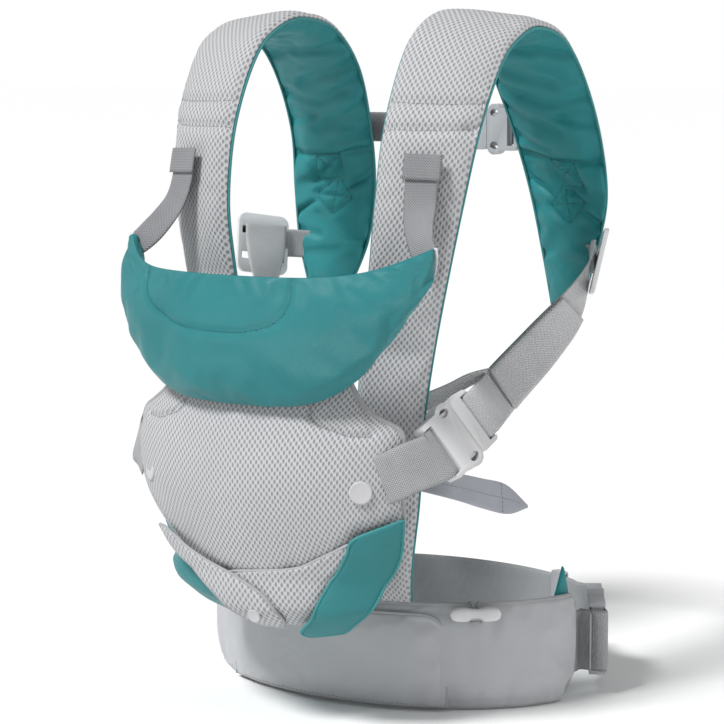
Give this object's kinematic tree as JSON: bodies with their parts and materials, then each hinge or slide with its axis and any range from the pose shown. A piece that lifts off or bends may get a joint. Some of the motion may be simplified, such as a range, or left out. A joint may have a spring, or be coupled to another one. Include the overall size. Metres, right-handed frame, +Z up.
{
  "type": "soft structured baby carrier",
  "caption": "Soft baby carrier: padded waist belt, two mesh shoulder straps, curved mesh pouch with teal head support, narrow-seat tabs and release buckles.",
  "frame": {"origin": "centre of the waist loop, on the plane of the belt's lower edge", "axes": "+Z up, -Y to the front where the baby sits, +X to the wearer's left"},
  "size_m": [0.3645, 0.3818, 0.545],
  "materials": {
    "belt_satin": "woven satin",
    "foam": "soft foam",
    "teal_lining": "brushed knit",
    "spacer_mesh": "open spacer mesh",
    "teal_seat": "brushed knit",
    "teal_headrest": "brushed knit",
    "tab_satin": "woven satin",
    "webbing_grey": "ribbed webbing",
    "webbing_light": "ribbed webbing",
    "plastic_grey": "moulded",
    "plastic_white": "moulded",
    "plastic_button": "moulded",
    "cord_grey": "folded cloth"
  },
  "bodies": {
    "carrier": {"back_buckle_socket": "plastic_grey", "back_webbing_left": "webbing_grey", "back_webbing_right": "webbing_grey", "belt_foam_core": "foam", "belt_front_pad": "belt_satin", "belt_inner_lining": "teal_lining", "belt_outer_cover": "belt_satin", "belt_webbing_left": "webbing_light", "belt_webbing_right": "webbing_light", "bib_button_left": "plastic_button", "bib_button_right": "plastic_button", "head_tether_left": "webbing_grey", "head_tether_right": "webbing_grey", "panel_lining": "teal_lining", "panel_mesh": "spacer_mesh", "panel_padding": "foam", "panel_webbing_left": "webbing_light", "panel_webbing_right": "webbing_light", "pull_tab_left": "tab_satin", "pull_tab_right": "tab_satin", "seat_base": "teal_seat", "seat_tab_lower": "spacer_mesh", "seat_wing_left": "teal_seat", "seat_wing_right": "teal_seat", "side_buckle_socket_left": "plastic_white", "side_buckle_socket_right": "plastic_white", "side_webbing_left": "webbing_light", "side_webbing_return_left": "webbing_light", "side_webbing_return_right": "webbing_light", "side_webbing_right": "webbing_light", "stay_strap_left": "webbing_light", "stay_strap_right": "webbing_light", "strap_foam_left": "foam", "strap_foam_right": "foam", "strap_lining_left": "teal_lining", "strap_lining_right": "teal_lining", "strap_mesh_cover_left": "spacer_mesh", "strap_mesh_cover_right": "spacer_mesh", "tether_patch_left": "webbing_grey", "tether_patch_right": "webbing_grey", "toggle_cord_left": "cord_grey", "toggle_cord_right": "cord_grey", "waist_buckle_socket": "plastic_grey", "waist_webbing_keeper": "plastic_grey"},
    "waist_plug": {"waist_buckle_plug": "plastic_grey"},
    "back_plug": {"back_buckle_plug": "plastic_grey"},
    "side_plug_left": {"side_buckle_plug_left": "plastic_white"},
    "side_plug_right": {"side_buckle_plug_right": "plastic_white"},
    "adjuster_left": {"side_adjuster_left": "plastic_grey"},
    "adjuster_right": {"side_adjuster_right": "plastic_grey"},
    "head_support": {"head_support_cover": "teal_headrest", "head_support_foam": "foam", "head_support_lining": "teal_headrest", "tether_button_left": "plastic_white", "tether_button_right": "plastic_white"},
    "seat_tab": {"seat_tab_upper": "spacer_mesh", "seat_tab_button": "plastic_button"},
    "toggle_left": {"belt_toggle_left": "plastic_white"},
    "toggle_right": {"belt_toggle_right": "plastic_white"}
  },
  "joints": [
    {"name": "waist_buckle_release", "type": "slide", "parent": "carrier", "child": "waist_plug", "axis": [-0.5074, 0.8617, 0], "range_m": [0, 0.03], "deforming": ["belt_webbing_right"]},
    {"name": "back_buckle_release", "type": "slide", "parent": "carrier", "child": "back_plug", "axis": [-1, 0, 0], "range_m": [0, 0.016], "deforming": ["back_webbing_right"]},
    {"name": "side_buckle_release_left", "type": "slide", "parent": "carrier", "child": "side_plug_left", "axis": [0, 0.9305, 0.3662], "range_m": [0, 0.024], "deforming": ["side_webbing_left", "side_webbing_return_left"]},
    {"name": "side_buckle_release_right", "type": "slide", "parent": "carrier", "child": "side_plug_right", "axis": [0, 0.9305, 0.3662], "range_m": [0, 0.024], "deforming": ["side_webbing_right", "side_webbing_return_right"]},
    {"name": "adjuster_tilt_left", "type": "hinge", "parent": "carrier", "child": "adjuster_left", "pos_m": [0.16605, 0.02782, 0.37333], "axis": [0.4963, -0.8557, 0.1463], "range_deg": [0, 30]},
    {"name": "adjuster_tilt_right", "type": "hinge", "parent": "carrier", "child": "adjuster_right", "pos_m": [-0.16605, 0.02782, 0.37333], "axis": [0.4963, 0.8557, -0.1463], "range_deg": [0, 30]},
    {"name": "head_support_fold", "type": "hinge", "parent": "carrier", "child": "head_support", "pos_m": [0, -0.236, 0.254], "axis": [1, 0, 0], "range_deg": [0, 15], "deforming": ["head_tether_left", "head_tether_right"]},
    {"name": "seat_tab_peel", "type": "hinge", "parent": "carrier", "child": "seat_tab", "pos_m": [-0.08982, -0.21286, 0.1414], "axis": [0, 0, -1], "range_deg": [0, 40]},
    {"name": "toggle_swing_left", "type": "hinge", "parent": "carrier", "child": "toggle_left", "pos_m": [0.12411, -0.09845, 0.079], "axis": [0.6031, -0.7977, 0], "range_deg": [-45, 45]},
    {"name": "toggle_swing_right", "type": "hinge", "parent": "carrier", "child": "toggle_right", "pos_m": [-0.12411, -0.09845, 0.079], "axis": [0.6031, 0.7977, 0], "range_deg": [-45, 45]}
  ]
}
